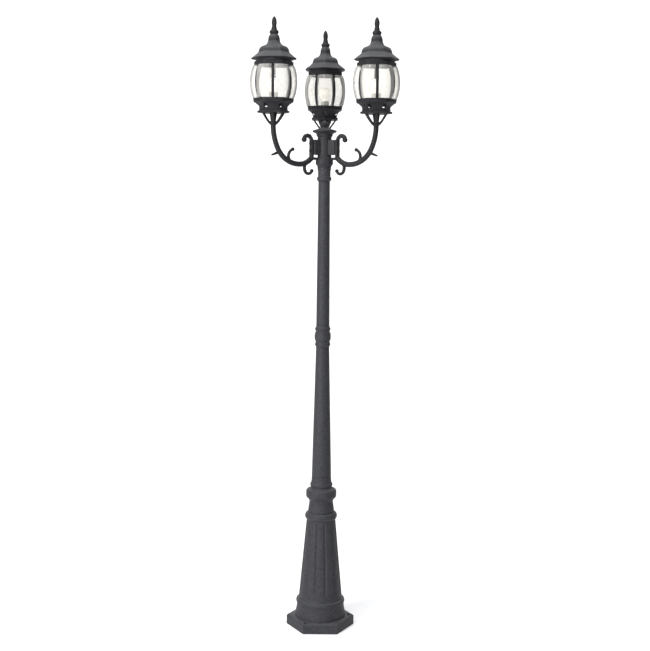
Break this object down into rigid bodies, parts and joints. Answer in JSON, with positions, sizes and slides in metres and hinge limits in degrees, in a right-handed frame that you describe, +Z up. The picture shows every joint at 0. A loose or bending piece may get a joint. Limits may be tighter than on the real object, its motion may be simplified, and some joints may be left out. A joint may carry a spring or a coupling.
{
  "type": "post light",
  "caption": "Garden post light: fluted pedestal, tapered post and a hub with scrolled arms that carry six-sided glazed lanterns with lift-off roofs.",
  "frame": {"origin": "centre of the foot's underside, on the post's axis", "axes": "+Z up the post; the front, from which the picture was taken, is -Y; +X to its right"},
  "size_m": [0.557, 0.4992, 2.2887],
  "materials": {
    "iron": "cast aluminium, textured matte charcoal powder coat",
    "steel": "plated steel fasteners and pipe",
    "glass": "clear bent glass with a bevelled border",
    "socket": "pale moulded lamp holder",
    "bulb": "frosted glass bulb"
  },
  "bodies": {
    "root": {"pedestal": "iron", "pedestal_collar": "iron", "lower_post": "iron", "post_coupling": "iron", "upper_post": "iron", "hub_ferrule": "iron", "hub_body": "iron", "hub_cap": "iron", "hub_knob": "iron", "arm_left": "iron", "arm_right": "iron", "arm_rear": "iron", "arm_bolts_left": "steel", "arm_bolts_right": "steel", "arm_bolts_rear": "steel", "holder_left": "iron", "holder_right": "iron", "holder_rear": "iron", "pipe_left": "steel", "pipe_right": "steel", "pipe_rear": "steel", "cage_left": "iron", "cage_right": "iron", "cage_rear": "iron", "panes_left": "glass", "panes_right": "glass", "panes_rear": "glass", "socket_left": "socket", "socket_right": "socket", "socket_rear": "socket", "bridge_left": "steel", "bridge_right": "steel", "bridge_rear": "steel"},
    "roof_left": {"roof_left": "iron"},
    "finial_left": {"finial_left": "iron"},
    "bulb_left": {"bulb_left": "bulb"},
    "roof_right": {"roof_right": "iron"},
    "finial_right": {"finial_right": "iron"},
    "bulb_right": {"bulb_right": "bulb"},
    "roof_rear": {"roof_rear": "iron"},
    "finial_rear": {"finial_rear": "iron"},
    "bulb_rear": {"bulb_rear": "bulb"}
  },
  "joints": [
    {"name": "roof_left_lift", "type": "slide", "parent": "root", "child": "roof_left", "axis": [0, 0, 1], "range_m": [0, 0.13]},
    {"name": "finial_left_turn", "type": "hinge", "parent": "roof_left", "child": "finial_left", "pos_m": [-0.19053, -0.11, 2.2204], "axis": [0, 0, 1], "continuous": true},
    {"name": "bulb_left_turn", "type": "hinge", "parent": "root", "child": "bulb_left", "pos_m": [-0.19053, -0.11, 1.97015], "axis": [0, 0, 1], "continuous": true},
    {"name": "roof_right_lift", "type": "slide", "parent": "root", "child": "roof_right", "axis": [0, 0, 1], "range_m": [0, 0.13]},
    {"name": "finial_right_turn", "type": "hinge", "parent": "roof_right", "child": "finial_right", "pos_m": [0.19053, -0.11, 2.2204], "axis": [0, 0, 1], "continuous": true},
    {"name": "bulb_right_turn", "type": "hinge", "parent": "root", "child": "bulb_right", "pos_m": [0.19053, -0.11, 1.97015], "axis": [0, 0, 1], "continuous": true},
    {"name": "roof_rear_lift", "type": "slide", "parent": "root", "child": "roof_rear", "axis": [0, 0, 1], "range_m": [0, 0.13]},
    {"name": "finial_rear_turn", "type": "hinge", "parent": "roof_rear", "child": "finial_rear", "pos_m": [0, 0.22, 2.2204], "axis": [0, 0, 1], "continuous": true},
    {"name": "bulb_rear_turn", "type": "hinge", "parent": "root", "child": "bulb_rear", "pos_m": [0, 0.22, 1.97015], "axis": [0, 0, 1], "continuous": true}
  ]
}
